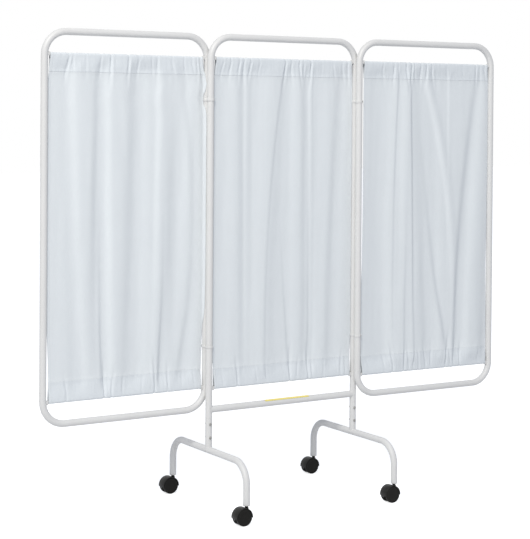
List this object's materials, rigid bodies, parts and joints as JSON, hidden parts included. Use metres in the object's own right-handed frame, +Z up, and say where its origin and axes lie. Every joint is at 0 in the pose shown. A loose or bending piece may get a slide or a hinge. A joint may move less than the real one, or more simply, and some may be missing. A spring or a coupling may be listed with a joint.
{
  "type": "folding ward privacy screen on wheels",
  "caption": "Free-standing folding ward screen: bent tube panels with gathered curtains, a fixed centre panel on arched bases with hooded casters, and wings that fold flat in a Z.",
  "frame": {"origin": "on the floor, in the middle of the bounding box with the wings open", "axes": "+Z up, +X to the right along the centre panel as seen from the front, +Y from front to back"},
  "size_m": [1.9468, 0.5772, 1.7284],
  "materials": {
    "frame_paint": "off-white powder coat, satin",
    "rod_paint": "off-white powder coat on thin rod",
    "curtain_cloth": "pale blue-white woven cloth, matt",
    "strip_film": "blank pale yellow film",
    "dark_steel": "darkened fastener steel",
    "bright_steel": "plated steel",
    "socket_plastic": "light grey moulded plastic",
    "stem_steel": "black coated steel",
    "hood_plastic": "black moulded plastic, low sheen",
    "wheel_plastic": "black moulded plastic"
  },
  "bodies": {
    "stand": {"centre_frame": "frame_paint", "lower_crossbar": "frame_paint", "marker_strip": "strip_film", "base_arch_left": "frame_paint", "base_upright_left": "frame_paint", "post_connector_left": "bright_steel", "base_bolt_left_upper": "dark_steel", "base_nut_left_upper": "bright_steel", "base_bolt_left_lower": "dark_steel", "base_nut_left_lower": "bright_steel", "base_arch_right": "frame_paint", "base_upright_right": "frame_paint", "post_connector_right": "bright_steel", "base_bolt_right_upper": "dark_steel", "base_nut_right_upper": "bright_steel", "base_bolt_right_lower": "dark_steel", "base_nut_right_lower": "bright_steel", "curtain_rod_centre_top": "rod_paint", "curtain_rod_centre_bottom": "rod_paint", "curtain_centre": "curtain_cloth", "caster_socket_front_left": "socket_plastic", "caster_stem_front_left": "stem_steel", "caster_socket_rear_left": "socket_plastic", "caster_stem_rear_left": "stem_steel", "caster_socket_front_right": "socket_plastic", "caster_stem_front_right": "stem_steel", "caster_socket_rear_right": "socket_plastic", "caster_stem_rear_right": "stem_steel"},
    "left_hinge": {"hinge_clip_left_upper": "frame_paint", "hinge_clip_left_lower": "frame_paint", "clip_rivet_left_upper": "dark_steel", "clip_rivet_left_lower": "dark_steel"},
    "left_wing": {"wing_frame_left": "frame_paint", "curtain_rod_left_top": "rod_paint", "curtain_rod_left_bottom": "rod_paint", "curtain_left": "curtain_cloth"},
    "right_hinge": {"hinge_clip_right_upper": "frame_paint", "hinge_clip_right_lower": "frame_paint", "clip_rivet_right_upper": "dark_steel", "clip_rivet_right_lower": "dark_steel"},
    "right_wing": {"wing_frame_right": "frame_paint", "curtain_rod_right_top": "rod_paint", "curtain_rod_right_bottom": "rod_paint", "curtain_right": "curtain_cloth"},
    "caster_front_left": {"caster_hood_front_left": "hood_plastic", "caster_axle_front_left": "bright_steel"},
    "wheel_front_left_front": {"caster_wheel_front_left_front": "wheel_plastic"},
    "wheel_front_left_rear": {"caster_wheel_front_left_rear": "wheel_plastic"},
    "caster_rear_left": {"caster_hood_rear_left": "hood_plastic", "caster_axle_rear_left": "bright_steel"},
    "wheel_rear_left_front": {"caster_wheel_rear_left_front": "wheel_plastic"},
    "wheel_rear_left_rear": {"caster_wheel_rear_left_rear": "wheel_plastic"},
    "caster_front_right": {"caster_hood_front_right": "hood_plastic", "caster_axle_front_right": "bright_steel"},
    "wheel_front_right_front": {"caster_wheel_front_right_front": "wheel_plastic"},
    "wheel_front_right_rear": {"caster_wheel_front_right_rear": "wheel_plastic"},
    "caster_rear_right": {"caster_hood_rear_right": "hood_plastic", "caster_axle_rear_right": "bright_steel"},
    "wheel_rear_right_front": {"caster_wheel_rear_right_front": "wheel_plastic"},
    "wheel_rear_right_rear": {"caster_wheel_rear_right_rear": "wheel_plastic"}
  },
  "joints": [
    {"name": "left_clips_round_post", "type": "hinge", "parent": "stand", "child": "left_hinge", "pos_m": [-0.32092, 0.0003, 1.037], "axis": [0, 0, 1], "range_deg": [0, 90]},
    {"name": "left_wing_fold", "type": "hinge", "parent": "left_hinge", "child": "left_wing", "pos_m": [-0.32092, 0.0285, 1.037], "axis": [0, 0, 1], "range_deg": [-179.6, 6.4]},
    {"name": "right_clips_round_post", "type": "hinge", "parent": "stand", "child": "right_hinge", "pos_m": [0.32108, 0.0003, 1.037], "axis": [0, 0, 1], "range_deg": [0, 90]},
    {"name": "right_wing_fold", "type": "hinge", "parent": "right_hinge", "child": "right_wing", "pos_m": [0.32108, -0.02789, 1.037], "axis": [0, 0, 1], "range_deg": [-178.4, 7.6]},
    {"name": "caster_front_left_swivel", "type": "hinge", "parent": "stand", "child": "caster_front_left", "pos_m": [-0.32092, -0.2677, 0.06], "axis": [0, 0, 1], "continuous": true},
    {"name": "wheel_front_left_front_spin", "type": "hinge", "parent": "caster_front_left", "child": "wheel_front_left_front", "pos_m": [-0.33818, -0.28125, 0.03], "axis": [-0.0175, 0.9998, 0], "continuous": true},
    {"name": "wheel_front_left_rear_spin", "type": "hinge", "parent": "caster_front_left", "child": "wheel_front_left_rear", "pos_m": [-0.33864, -0.25475, 0.03], "axis": [-0.0175, 0.9998, 0], "continuous": true},
    {"name": "caster_rear_left_swivel", "type": "hinge", "parent": "stand", "child": "caster_rear_left", "pos_m": [-0.32092, 0.26831, 0.06], "axis": [0, 0, 1], "continuous": true},
    {"name": "wheel_rear_left_front_spin", "type": "hinge", "parent": "caster_rear_left", "child": "wheel_rear_left_front", "pos_m": [-0.33818, 0.25475, 0.03], "axis": [-0.0175, 0.9998, 0], "continuous": true},
    {"name": "wheel_rear_left_rear_spin", "type": "hinge", "parent": "caster_rear_left", "child": "wheel_rear_left_rear", "pos_m": [-0.33864, 0.28125, 0.03], "axis": [-0.0175, 0.9998, 0], "continuous": true},
    {"name": "caster_front_right_swivel", "type": "hinge", "parent": "stand", "child": "caster_front_right", "pos_m": [0.32108, -0.2677, 0.06], "axis": [0, 0, 1], "continuous": true},
    {"name": "wheel_front_right_front_spin", "type": "hinge", "parent": "caster_front_right", "child": "wheel_front_right_front", "pos_m": [0.30382, -0.28125, 0.03], "axis": [-0.0175, 0.9998, 0], "continuous": true},
    {"name": "wheel_front_right_rear_spin", "type": "hinge", "parent": "caster_front_right", "child": "wheel_front_right_rear", "pos_m": [0.30336, -0.25475, 0.03], "axis": [-0.0175, 0.9998, 0], "continuous": true},
    {"name": "caster_rear_right_swivel", "type": "hinge", "parent": "stand", "child": "caster_rear_right", "pos_m": [0.32108, 0.26831, 0.06], "axis": [0, 0, 1], "continuous": true},
    {"name": "wheel_rear_right_front_spin", "type": "hinge", "parent": "caster_rear_right", "child": "wheel_rear_right_front", "pos_m": [0.30382, 0.25475, 0.03], "axis": [-0.0175, 0.9998, 0], "continuous": true},
    {"name": "wheel_rear_right_rear_spin", "type": "hinge", "parent": "caster_rear_right", "child": "wheel_rear_right_rear", "pos_m": [0.30336, 0.28125, 0.03], "axis": [-0.0175, 0.9998, 0], "continuous": true}
  ]
}
